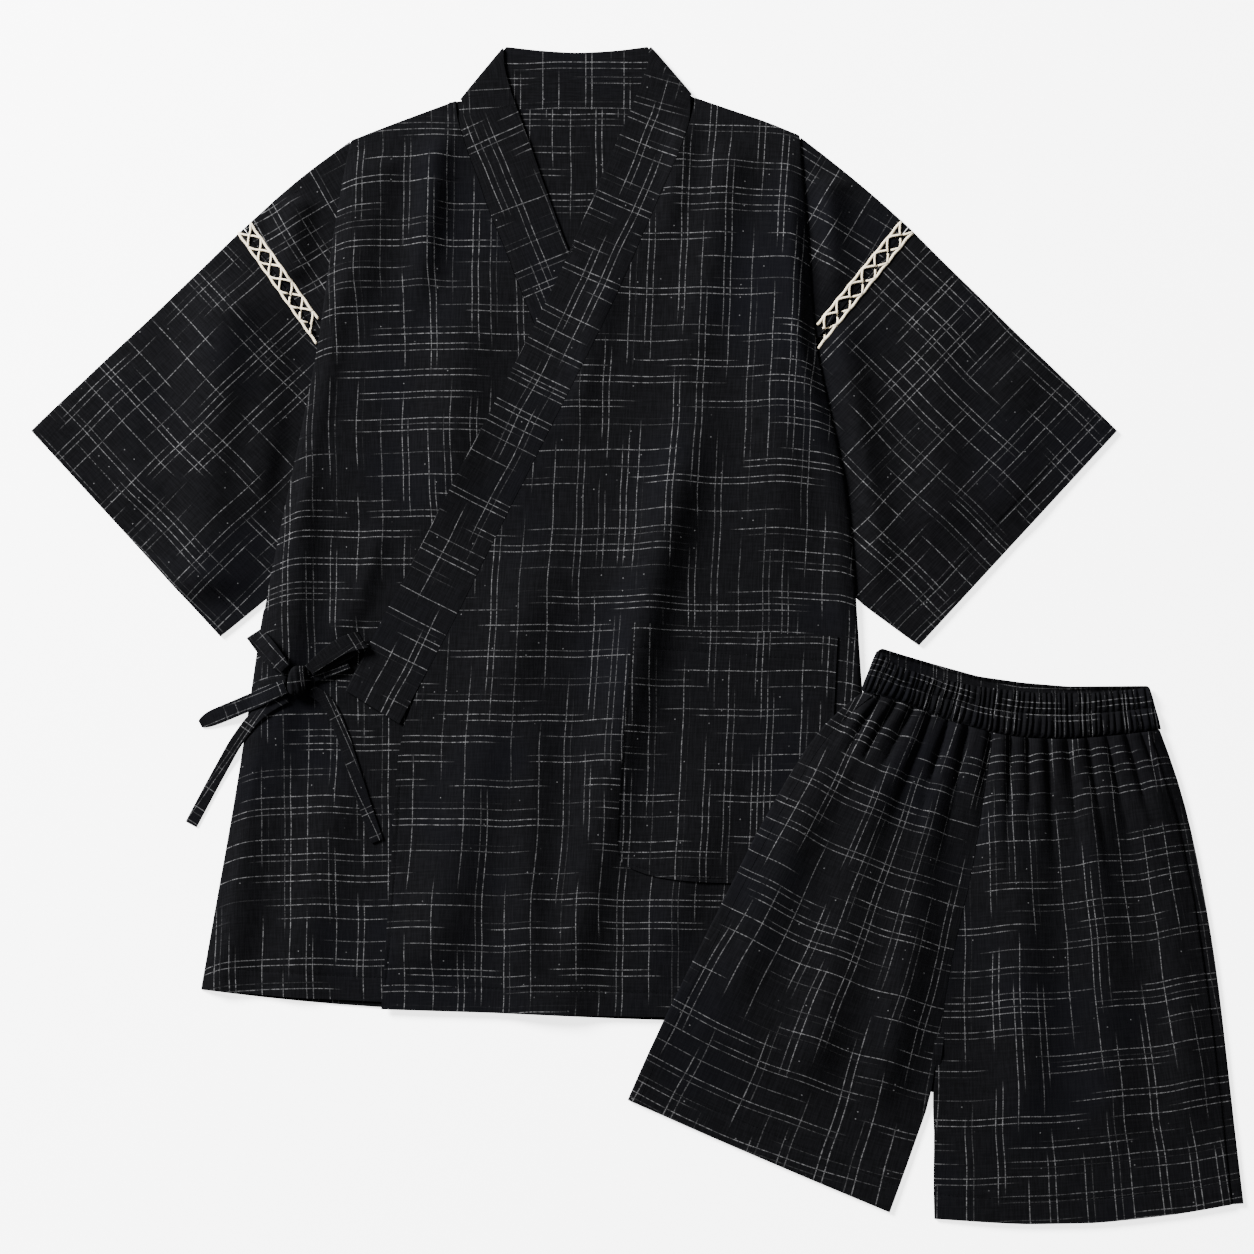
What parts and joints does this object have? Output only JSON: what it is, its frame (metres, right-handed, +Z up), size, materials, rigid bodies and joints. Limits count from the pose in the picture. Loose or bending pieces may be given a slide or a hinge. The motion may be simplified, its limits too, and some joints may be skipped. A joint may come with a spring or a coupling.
{
  "type": "jinbei set",
  "caption": "Black jinbei laid flat: short-sleeved wrap jacket with cream shoulder lace and tied bow, and elastic-waist shorts lying over its lower corner.",
  "frame": {"origin": "bottom centre of the bounding box of the whole set, on the surface it lies on", "axes": "+X to the viewer's right across the set, +Y towards the jacket's collar, +Z up from the surface it lies on"},
  "size_m": [0.948, 0.9199, 0.0141],
  "materials": {
    "black_cloth": "matte slubby plain weave cotton, black, with fine broken off-white lines",
    "cream_lace": "matte cotton insertion braid, cream"
  },
  "bodies": {
    "root": {"back": "black_cloth", "front_right": "black_cloth", "front_left": "black_cloth", "sleeve_right": "black_cloth", "sleeve_left": "black_cloth", "shoulder_right": "black_cloth", "shoulder_left": "black_cloth", "collar": "black_cloth", "pocket": "black_cloth", "tie_side": "black_cloth", "tie_collar": "black_cloth", "bow_loop_right": "black_cloth", "bow_loop_left": "black_cloth", "bow_tail_short": "black_cloth", "bow_tail_long": "black_cloth", "bow_tail_right": "black_cloth", "bow_knot": "black_cloth", "leg_front_right": "black_cloth", "leg_back_right": "black_cloth", "leg_front_left": "black_cloth", "leg_back_left": "black_cloth", "waistband": "black_cloth", "lace_right": "cream_lace", "lace_left": "cream_lace"}
  },
  "joints": []
}
